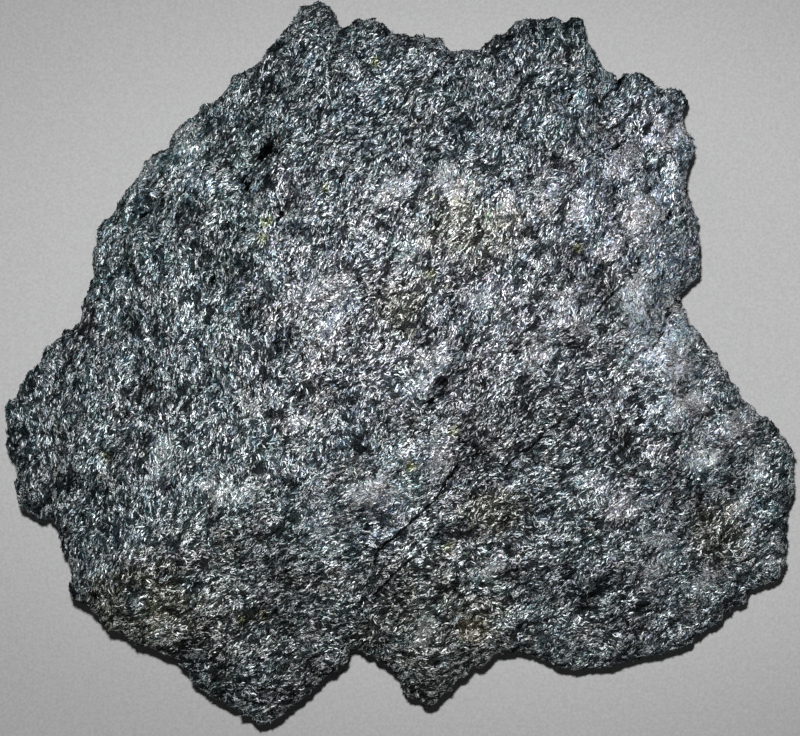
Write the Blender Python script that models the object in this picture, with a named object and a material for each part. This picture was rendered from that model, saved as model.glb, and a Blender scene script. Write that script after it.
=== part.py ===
"""Chlorite schist specimen: one broken slab of foliated rock, lying flat on its cleavage face.

The slab is one solid. Its plan outline is a ragged polygon. Its broken side is a stack of rings that
step in and out like the edges of the rock's thin layers, and undercut towards the base. Its top is a
low dome with swells, hollows, ridges, pits and ledges. Its underside is a flat cleavage face with
shallow hollows, and with corners where a thin layer has come away. Blender 4.5, metres, +Z up,
+X to the right of the photograph and +Y to its top.
"""

import math

import bmesh
import bpy
import numpy as np
from mathutils import Vector
from mathutils.geometry import delaunay_2d_cdt

MM = 0.001

# Driving dimensions
SLAB_WIDTH = 110.0 * MM
EDGE_HEIGHT = 10.5 * MM
CROWN_HEIGHT = 6.0 * MM
CROWN_REACH = 13.0 * MM

# The outline is read off the photograph in pixels, and scaled so that the slab is SLAB_WIDTH wide
OUTLINE_LEFT_PX = 7
OUTLINE_RIGHT_PX = 794
PLAN_CENTRE_PX = (400.5, 364.0)
M_PER_PX = SLAB_WIDTH / (OUTLINE_RIGHT_PX - OUTLINE_LEFT_PX)

NORTH_WEST_HORN = [
    (292, 21), (300, 14), (309, 6), (317, 5), (330, 8), (334, 19), (337, 27),
]
NORTH_EDGE = [
    (350, 26), (360, 22), (376, 24), (386, 30), (394, 35), (408, 38), (424, 38), (440, 40),
    (448, 50), (463, 50), (478, 50), (488, 43), (500, 38),
]
NORTH_HORN = [
    (508, 30), (518, 22), (529, 20), (543, 22), (556, 22), (563, 26), (571, 20), (578, 20),
    (583, 31), (587, 46), (594, 57), (602, 66), (606, 75),
]
NORTH_EAST_LOBE = [
    (612, 75), (617, 82), (626, 77), (639, 75), (650, 81), (656, 88), (667, 92), (681, 91),
    (688, 103), (683, 113), (685, 131), (692, 148), (689, 163), (684, 181), (690, 200), (695, 217),
    (698, 231), (700, 250), (701, 264), (697, 279), (685, 289), (679, 299),
]
EAST_EDGE = [
    (682, 315), (692, 334), (706, 346), (716, 359), (722, 372), (733, 386), (742, 401), (756, 415),
    (770, 426), (777, 435), (786, 441), (790, 455), (792, 475), (794, 489), (788, 509), (787, 527),
    (785, 550), (787, 564), (783, 578),
]
SOUTH_EAST_ARC = [
    (770, 584), (753, 589), (744, 600), (727, 613), (712, 625), (697, 635), (687, 645), (670, 650),
    (650, 654), (632, 660), (612, 665), (592, 669), (572, 668), (553, 664), (537, 657), (524, 650),
    (508, 651), (496, 653),
]
SOUTH_TONGUE = [
    (484, 662), (470, 668), (461, 677), (449, 689), (437, 701), (429, 706), (418, 700), (405, 688),
    (399, 675), (388, 666), (376, 655), (362, 648), (350, 648),
]
SOUTH_WEST_TONGUE = [
    (346, 661), (334, 671), (321, 677), (309, 691), (293, 704), (279, 718), (263, 723), (252, 717),
    (236, 707), (218, 700), (206, 691), (194, 680), (188, 667),
]
SOUTH_WEST_EDGE = [
    (173, 655), (158, 650), (141, 643), (128, 633), (113, 625), (98, 612), (84, 602), (73, 596),
    (72, 584), (75, 572), (70, 558), (65, 540), (57, 521), (50, 512),
]
WEST_LOBE = [
    (40, 517), (27, 511), (19, 498), (18, 486), (21, 477), (15, 462), (10, 444), (9, 428),
    (7, 412), (11, 401), (18, 398), (23, 381), (32, 369), (44, 361), (50, 347), (59, 339),
]
NORTH_WEST_EDGE = [
    (73, 331), (82, 319), (83, 304), (91, 286), (94, 272), (93, 260), (97, 248), (97, 236),
    (102, 223), (111, 217), (121, 200), (129, 189), (137, 184), (143, 173), (145, 163), (156, 154),
    (169, 149), (177, 134), (191, 121), (205, 110), (217, 100), (227, 89), (234, 76), (247, 74),
    (261, 62), (269, 49), (281, 37),
]
OUTLINE_PX = (
    NORTH_WEST_HORN + NORTH_EDGE + NORTH_HORN + NORTH_EAST_LOBE + EAST_EDGE + SOUTH_EAST_ARC
    + SOUTH_TONGUE + SOUTH_WEST_TONGUE + SOUTH_WEST_EDGE + WEST_LOBE + NORTH_WEST_EDGE
)

# Swells and hollows of the top: place in pixels, the two radii in mm, the first radius's turn from +X
# in degrees, and the height in mm
SWELLS = {
    "crown": (420, 300, 34.0, 26.0, 20, 2.2),
    "west_shoulder": (215, 450, 17.0, 12.0, 25, 1.3),
    "north_east_lobe": (655, 205, 8.0, 16.0, 0, 1.6),
    "east_bulge": (640, 225, 4.5, 5.5, 0, 0.7),
    "north_knob": (508, 208, 4.5, 3.5, 10, 0.6),
    "north_horn": (545, 50, 7.0, 4.0, 0, 0.9),
    "north_west_horn": (310, 35, 5.0, 5.0, 0, 0.9),
    "west_rib": (322, 315, 3.0, 8.0, 12, 0.8),
    "pale_rib": (550, 312, 7.0, 3.0, 15, 0.6),
    "middle_rib": (430, 365, 4.5, 4.0, 0, 0.6),
    "south_knob": (422, 625, 3.8, 3.0, 0, 0.8),
    "south_east_rib": (610, 492, 10.0, 2.6, 28, 1.0),
    "east_rib": (664, 395, 2.6, 9.0, 6, 0.9),
    "rim_rib": (725, 430, 3.4, 5.0, -20, 0.7),
    "tongue_rib": (500, 562, 5.0, 2.2, 10, 0.6),
    "south_west_edge": (140, 600, 13.0, 7.0, -32, 2.4),
    "south_east_edge": (745, 560, 9.0, 13.0, 15, -1.8),
    "north_hollow": (505, 76, 6.0, 4.0, 0, -0.9),
    "north_west_groove": (250, 190, 9.0, 4.0, 60, -0.5),
    "west_hollow": (100, 455, 8.0, 9.0, 0, -0.7),
    "middle_hollow": (478, 410, 9.0, 4.5, 25, -0.9),
    "south_hollow": (490, 508, 7.0, 5.0, 10, -1.0),
    "deep_hollow": (370, 526, 3.4, 5.0, 0, -1.1),
    "east_hollow": (725, 505, 7.0, 6.0, 0, -0.9),
    "arc_hollow": (640, 605, 13.0, 6.0, 15, -0.7),
    "south_west_hollow": (285, 580, 12.0, 5.0, 15, -0.8),
    "lobe_hollow": (632, 130, 4.0, 4.0, 0, -0.9),
}

# Ledges where a layer has broken away: pixel x, pixel y and the layer's thickness in mm along each
# line. The broken side is on the right of the line, seen along it from its first point
LEDGES = {
    "east_step": (
        (716, 297, 5.5), (690, 299, 5.5), (678, 302, 5.2), (670, 309, 4.8), (664, 321, 4.0),
        (659, 333, 2.8), (650, 344, 2.0), (636, 356, 1.4), (612, 378, 1.0), (584, 401, 0.8),
        (561, 421, 0.9), (540, 437, 0.8), (519, 454, 0.7), (503, 466, 0.4), (488, 474, 0.0),
    ),
    "south_step": (
        (478, 448, 0.0), (461, 462, 0.5), (448, 473, 0.8), (441, 492, 0.9), (425, 508, 0.9),
        (405, 525, 0.8), (392, 538, 0.7), (379, 549, 0.7), (373, 570, 0.6), (362, 597, 0.5),
        (354, 622, 0.3), (350, 636, 0.0),
    ),
    "north_west_bevel": (
        (97, 262, 0.0), (112, 240, 0.9), (145, 214, 1.2), (163, 190, 1.1), (187, 172, 1.1),
        (207, 156, 1.2), (221, 137, 1.4), (218, 117, 1.4), (229, 98, 1.0), (247, 88, 0.0),
    ),
    "north_crack": (
        (566, 108, 0.0), (584, 103, 0.5), (600, 99, 0.8), (618, 93, 0.9), (634, 86, 0.0),
    ),
    "lobe_crack": (
        (664, 212, 0.0), (652, 206, 0.8), (641, 193, 0.9), (624, 197, 0.7), (614, 212, 0.0),
    ),
}
UNDERSIDE_LEDGES = {
    "north_east_flake": (
        (676, 246, 0.6), (655, 240, 1.1), (628, 222, 1.4), (606, 184, 1.6), (572, 158, 1.7),
        (530, 146, 1.5), (500, 122, 1.2), (484, 92, 0.8), (480, 62, 0.5),
    ),
    "west_flake": (
        (66, 348, 0.5), (96, 382, 0.9), (118, 412, 1.2), (130, 444, 1.3), (118, 480, 1.2),
        (92, 506, 0.9), (66, 524, 0.5),
    ),
    "south_flake": (
        (492, 640, 0.5), (516, 612, 1.1), (548, 590, 1.4), (586, 586, 1.4), (622, 606, 1.1),
        (644, 640, 0.5),
    ),
}
LEDGE_HALF_WIDTH = 0.35 * MM
LEDGE_CLEAR_OF_RIM = 0.8 * MM
TOP_LEDGE_REACH = 13.0 * MM
UNDERSIDE_LEDGE_REACH = 40.0 * MM

# The grain of the crumpled layers: place in pixels, reach in mm, and the way that the ridges run, in
# degrees from +X
GRAIN_ZONES = {
    "west": (150, 350, 26.0, 78),
    "middle": (400, 250, 24.0, 52),
    "south": (330, 620, 22.0, 20),
    "south_east": (650, 500, 24.0, 32),
    "north_east": (610, 140, 18.0, 65),
}
GRAIN_LENGTH = 13.0 * MM
GRAIN_WIDTH = 4.6 * MM
GRAIN_HEIGHT = 0.50 * MM

# The lumps of the top, as wavelengths and heights
LUMPS = [(15.0 * MM, 0.80 * MM), (7.5 * MM, 0.50 * MM), (4.4 * MM, 0.30 * MM)]

# Pits: place in pixels, radius and depth in mm
PITS = [
    (264, 155, 1.3, 1.6), (245, 187, 1.1, 1.0), (213, 281, 1.4, 1.5), (247, 312, 1.3, 1.4),
    (284, 346, 1.1, 1.1), (471, 453, 0.9, 1.0), (449, 394, 1.2, 1.0), (568, 101, 1.2, 1.2),
    (315, 87, 0.9, 0.9), (148, 222, 1.5, 1.2), (457, 129, 0.9, 0.8), (284, 212, 1.0, 1.1),
    (126, 322, 1.4, 1.1), (575, 412, 1.0, 0.8), (350, 163, 1.1, 0.9), (377, 521, 1.3, 1.0),
]
PIT_RING_POINTS = 6

# The broken side, from its top edge down: share of the way in to the core, share of the edge's
# height, and how far the layer there sticks out (below zero: is cut back) where it has stayed on
WALL = [
    (0.20, 1.000, 0.00), (0.05, 0.940, 0.00), (0.00, 0.850, 0.00), (0.12, 0.690, -0.06),
    (0.12, 0.610, 0.16), (0.27, 0.480, -0.06), (0.30, 0.390, 0.26), (0.40, 0.280, -0.04),
    (0.50, 0.180, 0.28), (0.90, 0.050, 0.10),
]
SILHOUETTE_RING = 2
CORE_INSET = 6.5 * MM
CORE_SMOOTHING_STEPS = 60
LAYER_LENGTH = 12.0 * MM
LAYER_WAVE = 0.08
LAYER_UNEVENNESS = 0.05
LAYER_UNEVEN_LENGTH = 8.4 * MM
WALL_RAGGEDNESS = 0.09
WALL_RAGGED_LENGTH = 4.0 * MM

# The underside's hollows: wavelength and share of each of the two waves, and how much stays flat
UNDERSIDE_HOLLOW = 1.2 * MM
HOLLOW_LENGTH = 22.0 * MM
HOLLOW_RIPPLE_LENGTH = 8.0 * MM
HOLLOW_RIPPLE = 0.4
HOLLOW_THRESHOLD = 0.12
RESTING_PAD_RADIUS = 9.0 * MM

TOP_SPACING = 2.0 * MM
UNDERSIDE_SPACING = 3.6 * MM
GRID_JITTER = 0.22
JITTER_LENGTH = 1.7
CLEAR_OF_RIM = 0.55
CLEAR_OF_LEDGE = 0.45
CLEAR_OF_PIT = 0.9
CDT_PLAIN_MODE = 1
CDT_MERGE_MM = 1e-5

# Each wave of noise has a seed of its own, counted from these
NOISE_SEED = 11
UNDERSIDE_SEED = NOISE_SEED + 3
GRID_SEED = NOISE_SEED + 5
WAVE_SEED = NOISE_SEED + 30
LAYER_SEED = NOISE_SEED + 31
RAGGED_SEED = NOISE_SEED + 40
UNEVEN_SEED = NOISE_SEED + 50
GRAIN_SEED = NOISE_SEED + 60


def plan(px, py):
    """A pixel of the photograph as plan coordinates in metres."""
    return np.array([(px - PLAN_CENTRE_PX[0]) * M_PER_PX, (PLAN_CENTRE_PX[1] - py) * M_PER_PX])


def smooth_step(value):
    clipped = np.clip(value, 0.0, 1.0)
    return clipped * clipped * (3.0 - 2.0 * clipped)


def lattice_angle(column, row, seed):
    """A repeatable, random-looking angle for each point of a square lattice."""
    mixed = np.sin(column * 127.1 + row * 311.7 + seed * 74.7) * 43758.5453
    return (mixed - np.floor(mixed)) * 2.0 * math.pi


def gradient_noise(points, wavelength, seed):
    """Smooth noise from about -1 to 1 over plan points, one wave in each wavelength."""
    scaled = points / wavelength
    cell = np.floor(scaled)
    part = scaled - cell
    fade = part * part * part * (part * (part * 6.0 - 15.0) + 10.0)
    corner = {}
    for dx in (0, 1):
        for dy in (0, 1):
            angle = lattice_angle(cell[:, 0] + dx, cell[:, 1] + dy, seed)
            corner[dx, dy] = np.cos(angle) * (part[:, 0] - dx) + np.sin(angle) * (part[:, 1] - dy)
    low = corner[0, 0] + fade[:, 0] * (corner[1, 0] - corner[0, 0])
    high = corner[0, 1] + fade[:, 0] * (corner[1, 1] - corner[0, 1])
    return 1.5 * (low + fade[:, 1] * (high - low))


def turned(points, centre_px, degrees):
    """Plan points in the axes of a shape that is centred on a pixel and turned from +X."""
    offset = points - plan(*centre_px)
    cos, sin = math.cos(math.radians(degrees)), math.sin(math.radians(degrees))
    return np.column_stack([
        offset[:, 0] * cos + offset[:, 1] * sin,
        offset[:, 1] * cos - offset[:, 0] * sin,
    ])


def distance_to_line(points, line):
    """Signed distance of plan points to an open line, positive on its right, and the place along it.

    The place is a segment number plus the share of that segment.
    """
    nearest = np.full(len(points), np.inf)
    signed = np.zeros(len(points))
    place = np.zeros(len(points))
    for number, (start, end) in enumerate(zip(line[:-1], line[1:])):
        along = end - start
        offset = points - start
        share = np.clip(offset @ along / (along @ along), 0.0, 1.0)
        gap = np.linalg.norm(offset - share[:, None] * along, axis=1)
        right = offset[:, 0] * along[1] - offset[:, 1] * along[0]
        closer = gap < nearest
        nearest[closer] = gap[closer]
        signed[closer] = (np.sign(right) * gap)[closer]
        place[closer] = (number + share)[closer]
    return signed, place


def distance_to_ring(points, ring):
    """Distance of plan points to a closed line."""
    return np.abs(distance_to_line(points, np.vstack([ring, ring[:1]]))[0])


def is_inside(points, polygon):
    """Which points the closed polygon holds, by counting its crossings of a ray along +X."""
    inside = np.zeros(len(points), bool)
    for start, end in zip(polygon, np.roll(polygon, -1, axis=0)):
        if start[1] == end[1]:
            continue
        spans = (start[1] > points[:, 1]) != (end[1] > points[:, 1])
        share = (points[:, 1] - start[1]) / (end[1] - start[1])
        inside ^= spans & (points[:, 0] < start[0] + share * (end[0] - start[0]))
    return inside


def right_of(line):
    """Unit vectors to the right of each point of an open line."""
    along = np.gradient(line, axis=0)
    right = np.column_stack([along[:, 1], -along[:, 0]])
    return right / np.linalg.norm(right, axis=1)[:, None]


def swells(points):
    """The sum of the broad swells and hollows at plan points, in metres."""
    height = np.zeros(len(points))
    for px, py, first, second, turn, rise in SWELLS.values():
        local = turned(points, (px, py), turn) / (np.array([first, second]) * MM)
        height += rise * MM * np.exp(-0.5 * (local ** 2).sum(axis=1))
    return height


def broken_layers(points, ledges, reach):
    """How thick the layers are that have broken away over plan points, in metres."""
    depth = np.zeros(len(points))
    for ledge in ledges.values():
        line = [plan(px, py) for px, py, _ in ledge]
        thickness = np.array([thick for _, _, thick in ledge]) * MM
        signed, place = distance_to_line(points, line)
        here = np.interp(place, np.arange(len(thickness)), thickness)
        broken = smooth_step((signed + LEDGE_HALF_WIDTH) / (2.0 * LEDGE_HALF_WIDTH))
        depth += here * broken * np.exp(-np.clip(signed, 0.0, None) / reach)
    return depth


def grain(points):
    """The long low ridges of the crumpled layers, from about -1 to 1, each zone with its own run."""
    total = np.zeros(len(points))
    weights = np.full(len(points), 1e-6)
    for number, (px, py, reach, run) in enumerate(GRAIN_ZONES.values()):
        local = turned(points, (px, py), run)
        stretched = local / np.array([GRAIN_LENGTH, GRAIN_WIDTH])
        weight = np.exp(-(local ** 2).sum(axis=1) / (reach * MM) ** 2)
        total += weight * gradient_noise(stretched, 1.0, GRAIN_SEED + number)
        weights += weight
    return total / weights


def pits(points):
    """The depth of the small pits at plan points, in metres."""
    depth = np.zeros(len(points))
    for px, py, radius, deepest in PITS:
        gap = np.linalg.norm(points - plan(px, py), axis=1) / (radius * MM)
        depth += deepest * MM * np.exp(-gap ** 3)
    return depth


def top_height(points, outline):
    """Height of the top surface above the base plane, in metres."""
    inside = distance_to_ring(points, outline)
    height = EDGE_HEIGHT + CROWN_HEIGHT * (1.0 - np.exp(-inside / CROWN_REACH))
    height += GRAIN_HEIGHT * grain(points)
    for number, (wavelength, rise) in enumerate(LUMPS):
        height += rise * gradient_noise(points, wavelength, NOISE_SEED + number)
    return height + swells(points) - broken_layers(points, LEDGES, TOP_LEDGE_REACH) - pits(points)


def underside_height(points):
    """Height of the cleavage face: zero where the slab rests, with shallow hollows between."""
    hollow = gradient_noise(points, HOLLOW_LENGTH, UNDERSIDE_SEED) - HOLLOW_THRESHOLD
    ripple = HOLLOW_RIPPLE * gradient_noise(points, HOLLOW_RIPPLE_LENGTH, UNDERSIDE_SEED + 1)
    depth = UNDERSIDE_HOLLOW * np.clip(hollow + ripple, 0.0, None)
    depth += broken_layers(points, UNDERSIDE_LEDGES, UNDERSIDE_LEDGE_REACH)
    return depth * smooth_step(np.linalg.norm(points, axis=1) / RESTING_PAD_RADIUS - 1.0 + ripple)


def core_of(outline):
    """The outline smoothed and shrunk: what the broken side steps in towards at the base."""
    core = outline.copy()
    for _ in range(CORE_SMOOTHING_STEPS):
        core = 0.5 * core + 0.25 * (np.roll(core, 1, axis=0) + np.roll(core, -1, axis=0))
    along = np.roll(core, -1, axis=0) - np.roll(core, 1, axis=0)
    inward = np.column_stack([along[:, 1], -along[:, 0]])
    return core + CORE_INSET * inward / np.linalg.norm(inward, axis=1)[:, None]


def wall_rings(outline):
    """The side's rings of points from the top edge down, each as plan points and heights."""
    core = core_of(outline)
    edge = top_height(outline + WALL[0][0] * (core - outline), outline)
    wave = LAYER_WAVE * gradient_noise(outline, 2.0 * LAYER_LENGTH, WAVE_SEED)
    rings = []
    for number, (share_in, share_up, sticks_out) in enumerate(WALL):
        way_in = np.full(len(outline), share_in)
        if number > SILHOUETTE_RING:
            stays = gradient_noise(outline, LAYER_LENGTH, LAYER_SEED + number // 2)
            way_in -= sticks_out * smooth_step(2.0 * stays + 0.5)
            ragged = gradient_noise(outline, WALL_RAGGED_LENGTH, RAGGED_SEED + number)
            way_in += WALL_RAGGEDNESS * ragged
        points = outline + np.clip(way_in, 0.0, 1.0)[:, None] * (core - outline)
        uneven = gradient_noise(outline, LAYER_UNEVEN_LENGTH, UNEVEN_SEED + number)
        shift = (wave + LAYER_UNEVENNESS * uneven) * math.sin(math.pi * share_up)
        rings.append((points, (share_up + shift) * edge))
    return rings


def hex_grid(polygon, spacing, seed):
    """Points of a gently jittered triangular grid over the polygon's box."""
    low, high = polygon.min(axis=0), polygon.max(axis=0)
    row_height = spacing * math.sqrt(3.0) / 2.0
    rows = []
    for row, y in enumerate(np.arange(low[1], high[1], row_height)):
        x = np.arange(low[0] + (row % 2) * spacing / 2.0, high[0], spacing)
        rows.append(np.column_stack([x, np.full(len(x), y)]))
    grid = np.vstack(rows)
    jitter = np.column_stack([
        gradient_noise(grid, JITTER_LENGTH * spacing, seed),
        gradient_noise(grid, JITTER_LENGTH * spacing, seed + 1),
    ])
    return grid + GRID_JITTER * spacing * jitter


def ledge_lines(ledges, rim):
    """The two plan lines at the lip and the foot of each ledge, kept inside the rim."""
    lines = []
    for ledge in ledges.values():
        line = np.array([plan(px, py) for px, py, _ in ledge])
        for side in (-1.0, 1.0):
            beside = line + side * LEDGE_HALF_WIDTH * right_of(line)
            clear = distance_to_ring(beside, rim) > LEDGE_CLEAR_OF_RIM
            lines.append(beside[clear & is_inside(beside, rim)])
    return lines


def pit_rings(rim):
    """The middle of each pit and a ring of points round it, so that the triangles follow it."""
    angles = np.arange(PIT_RING_POINTS) * 2.0 * math.pi / PIT_RING_POINTS
    circle = np.column_stack([np.cos(angles), np.sin(angles)])
    rings = []
    for px, py, radius, _ in PITS:
        middle = plan(px, py)
        ring = np.vstack([middle[None], middle + radius * MM * circle])
        if is_inside(ring, rim).all():
            rings.append(ring)
    return rings


def cap(rim, spacing, seed, lines, rings=()):
    """Plan points and triangles that fill the rim. The rim's own points come first, in order."""
    grid = hex_grid(rim, spacing, seed)
    grid = grid[is_inside(grid, rim)]
    grid = grid[distance_to_ring(grid, rim) > CLEAR_OF_RIM * spacing]
    for line in lines:
        grid = grid[np.abs(distance_to_line(grid, line)[0]) > CLEAR_OF_LEDGE * spacing]
    for ring in rings:
        grid = grid[np.linalg.norm(grid - ring[0], axis=1) > CLEAR_OF_PIT * spacing]
    edges = [(i, (i + 1) % len(rim)) for i in range(len(rim))]
    count = len(rim)
    for line in lines:
        edges += [(count + i, count + i + 1) for i in range(len(line) - 1)]
        count += len(line)
    flat = np.vstack([rim, *lines, *rings, grid]) / MM
    found = delaunay_2d_cdt([Vector(p) for p in flat], edges, [], CDT_PLAIN_MODE, CDT_MERGE_MM)
    points, _, triangles, sources = found[:4]
    place = {source: new for new, group in enumerate(sources) for source in group}
    first = [place[i] for i in range(len(rim))]
    order = first + sorted(set(range(len(points))) - set(first))
    renamed = {old: new for new, old in enumerate(order)}
    made = np.array([(points[old].x, points[old].y) for old in order]) * MM
    return made, [tuple(renamed[i] for i in triangle) for triangle in triangles]


def band(above, below):
    """The quads between two rings of points, split into triangles that face out."""
    made = []
    for i, j in enumerate(np.roll(np.arange(len(above)), -1)):
        made.append((above[i], above[j], below[j]))
        made.append((above[i], below[j], below[i]))
    return made


def slab_mesh():
    """All vertices and triangles of the slab: top, broken side and underside."""
    outline = np.array([plan(px, py) for px, py in OUTLINE_PX])
    rings = wall_rings(outline)
    top_rim, top_edge = rings[0]
    under_rim, under_edge = rings[-1]
    top, top_triangles = cap(
        top_rim, TOP_SPACING, GRID_SEED, ledge_lines(LEDGES, top_rim), pit_rings(top_rim)
    )
    under, under_triangles = cap(
        under_rim, UNDERSIDE_SPACING, GRID_SEED + 1, ledge_lines(UNDERSIDE_LEDGES, under_rim)
    )
    top_level = top_height(top, outline)
    top_level[:len(outline)] = top_edge
    under_level = underside_height(under)
    under_level[:len(outline)] = under_edge

    around = np.arange(len(outline))
    vertices = [np.column_stack([top, top_level])]
    faces = list(top_triangles)
    above = around
    filled = len(top)
    for points, height in rings[1:-1]:
        vertices.append(np.column_stack([points, height]))
        faces += band(above, filled + around)
        above = filled + around
        filled += len(outline)
    vertices.append(np.column_stack([under, under_level]))
    faces += band(above, filled + around)
    faces += [tuple(filled + i for i in reversed(triangle)) for triangle in under_triangles]
    return np.vstack(vertices), faces


def centred(vertices):
    """The vertices moved so that the slab's box is centred on the origin and stands on z = 0."""
    low, high = vertices.min(axis=0), vertices.max(axis=0)
    middle = (low + high) / 2.0
    return vertices - np.array([middle[0], middle[1], low[2]])


def schist_material():
    """Dark grey-green rock with the soft shine of fine chlorite flakes."""
    material = bpy.data.materials.new("chlorite_schist")
    material.use_nodes = True
    shader = material.node_tree.nodes["Principled BSDF"]
    shader.inputs["Base Color"].default_value = (0.135, 0.155, 0.155, 1.0)
    shader.inputs["Roughness"].default_value = 0.42
    shader.inputs["Metallic"].default_value = 0.0
    return material


def chlorite_slab():
    """The slab's object, with its triangles turned to face out."""
    vertices, faces = slab_mesh()
    mesh = bpy.data.meshes.new("chlorite_slab")
    mesh.from_pydata(centred(vertices).tolist(), [], [[int(i) for i in face] for face in faces])
    shape = bmesh.new()
    shape.from_mesh(mesh)
    bmesh.ops.recalc_face_normals(shape, faces=shape.faces)
    shape.to_mesh(mesh)
    shape.free()
    mesh.materials.append(schist_material())
    slab = bpy.data.objects.new("chlorite_slab", mesh)
    bpy.context.scene.collection.objects.link(slab)
    return slab


def main():
    for old in list(bpy.data.objects):
        bpy.data.objects.remove(old)
    chlorite_slab()


main()
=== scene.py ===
"""Looks of the chlorite schist specimen: a dark grey-green slab that glitters with fine flakes.

The slab's solid comes from the frame. Here its surface is made finer and crumpled, and then covered in
some 215,000 small flakes of chlorite that lie along the folds of the rock. Every random choice is
seeded. Metres, +Z up, +X to the right of the photograph and +Y to its top.
"""

import math

import bpy
import numpy as np
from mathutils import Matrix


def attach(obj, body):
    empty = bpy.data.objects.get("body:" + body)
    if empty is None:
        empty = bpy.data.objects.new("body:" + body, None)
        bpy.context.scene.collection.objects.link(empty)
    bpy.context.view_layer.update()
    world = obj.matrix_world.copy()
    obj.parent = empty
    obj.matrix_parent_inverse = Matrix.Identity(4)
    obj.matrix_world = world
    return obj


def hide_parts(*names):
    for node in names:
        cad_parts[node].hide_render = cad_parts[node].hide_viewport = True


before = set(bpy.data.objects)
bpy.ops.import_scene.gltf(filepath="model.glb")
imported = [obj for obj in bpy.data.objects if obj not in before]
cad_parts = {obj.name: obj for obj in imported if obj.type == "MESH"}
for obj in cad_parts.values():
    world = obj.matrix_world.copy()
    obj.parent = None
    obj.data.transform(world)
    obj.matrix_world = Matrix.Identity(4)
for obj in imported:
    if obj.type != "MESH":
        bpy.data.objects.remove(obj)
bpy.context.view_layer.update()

MM = 0.001

# The photograph's scale and middle, for the places of spots and stains
M_PER_PX = 110.0 * MM / 787.0
PLAN_CENTRE_PX = (400.5, 364.0)

# The camera looks straight down, and its picture is to scale at the height of the slab's rim
CAMERA_HEIGHT = 440.0 * MM
RIM_HEIGHT = 9.5 * MM
IMAGE_SIZE_PX = (800, 736)
IMAGE_CENTRE_PX = (400.0, 368.0)
SENSOR = 36.0

# The flash sits above the lens in the photograph, which is towards +Y, and a little to its left
FLASH_OFFSET = (-12.0 * MM, 46.0 * MM)
FLASH_SIZE = 14.0 * MM
FLASH_POWER = 1.80
ROOM_LIGHT = 0.035

FLOOR_SIZE = 2.0
FLOOR_DROP = 0.1 * MM
FLOOR_COLOUR = (0.54, 0.54, 0.542)

# The floor's colour is painted darker away from the slab, a painted pool of light: its light far off, the
# middle of its lit part and how that is squashed, and from where to where it fades
FLOOR_SHADE = 0.72
FLOOR_LIT_PLACE = (14.0 * MM, 4.0 * MM, 0.0)
FLOOR_LIT_SQUASH = (0.64, 1.04, 1.0)
FLOOR_LIT_REACH = (34.0 * MM, 76.0 * MM)

# How far the refined surface rounds over between the solid's corners, and how often it is split
ROUNDING = 0.55
SPLITS = 2

# The way that the folds run in plan: place in pixels, reach in mm, and degrees from +X
GRAIN_ZONES = {
    "west": (150, 350, 26.0, 78),
    "middle": (400, 250, 24.0, 52),
    "south": (330, 620, 22.0, 20),
    "south_east": (650, 500, 24.0, 32),
    "north_east": (610, 140, 18.0, 65),
    "north_west_edge": (160, 175, 8.0, 51),
}

# How the grain swirls: length, turn in radians and seed
GRAIN_SWIRLS = [(7.0 * MM, 0.9, 11), (2.8 * MM, 1.3, 12), (1.3 * MM, 0.6, 13)]

# Rounded folds with sharp creases between them: length, width, height and seed
FOLDS = [(6.5 * MM, 2.7 * MM, 0.36 * MM, 25), (3.0 * MM, 1.4 * MM, 0.24 * MM, 26)]

# The part of a fold's noise that leaves the surface in place, and how much of the folds the side has
FOLD_MIDDLE = 0.3
SIDE_FOLDS = 0.4

# Half a crease's width in the fold's noise, and how much painted shade darkens the creases of each kind of
# fold
CREASE_WIDTH = 0.15
CREASE_SHADE = (0.60, 0.45)

# Lumps of the top and side, and rounded knobs of the side: length, height and seed
LUMPS = [(4.0 * MM, 0.26 * MM, 31), (1.8 * MM, 0.15 * MM, 32)]
RIM_KNOBS = [(2.6 * MM, 0.95 * MM, 33), (1.2 * MM, 0.65 * MM, 34)]

# The part of a knob's noise that leaves the surface in place
KNOB_MIDDLE = 0.25

# Slow noise that makes the folds swirl, and finer noise that does so to the threads: length, reach and seed
FOLD_WARP = (6.0 * MM, 1.3 * MM, 6)
THREAD_WARP = (1.8 * MM, 0.6 * MM, 16)

# Thin layers that show as ledges round the broken side: length, thickness, relief and seed
LAYERS = (7.0 * MM, 0.9 * MM, 0.30 * MM, 40)

# Low bumps of the underside: length, height and seed, and the height below which they lie
UNDERSIDE_BUMPS = (2.0 * MM, 0.12 * MM, 50)
BUMPS_LEVEL = 3.0 * MM

# Fine ripples and threads that the flakes lie along: length, width, seed and strength
THREADS = [(1.6 * MM, 0.70 * MM, 35, 0.40), (0.90 * MM, 0.34 * MM, 36, 0.95)]

# How high the threads stand, and the step over which their slope is measured
THREAD_HEIGHT = 0.025 * MM
THREAD_STEP = 0.03 * MM

# How much a flake follows the grain against its thread, on open ground and beside a crack
THREAD_PULL = 0.85
CRACK_PULL = 4.0

# How light a thread is halfway up, how light its valleys are with their painted shade, and how much the
# painted glint lightens them
THREAD_LEVEL = 0.50
VALLEY_LIGHT = 0.025
GLINT_VALLEY_LIGHT = 0.10


def plan(px, py):
    """A pixel of the photograph as plan coordinates in metres."""
    return np.array([(px - PLAN_CENTRE_PX[0]) * M_PER_PX, (PLAN_CENTRE_PX[1] - py) * M_PER_PX])


def unit(vectors):
    """The vectors, each made one long."""
    return vectors / np.maximum(np.linalg.norm(vectors, axis=1), 1e-12)[:, None]


def smooth_step(value):
    """From 0 to 1 as the value goes from 0 to 1, level at both ends."""
    clipped = np.clip(value, 0.0, 1.0)
    return clipped * clipped * (3.0 - 2.0 * clipped)


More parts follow.
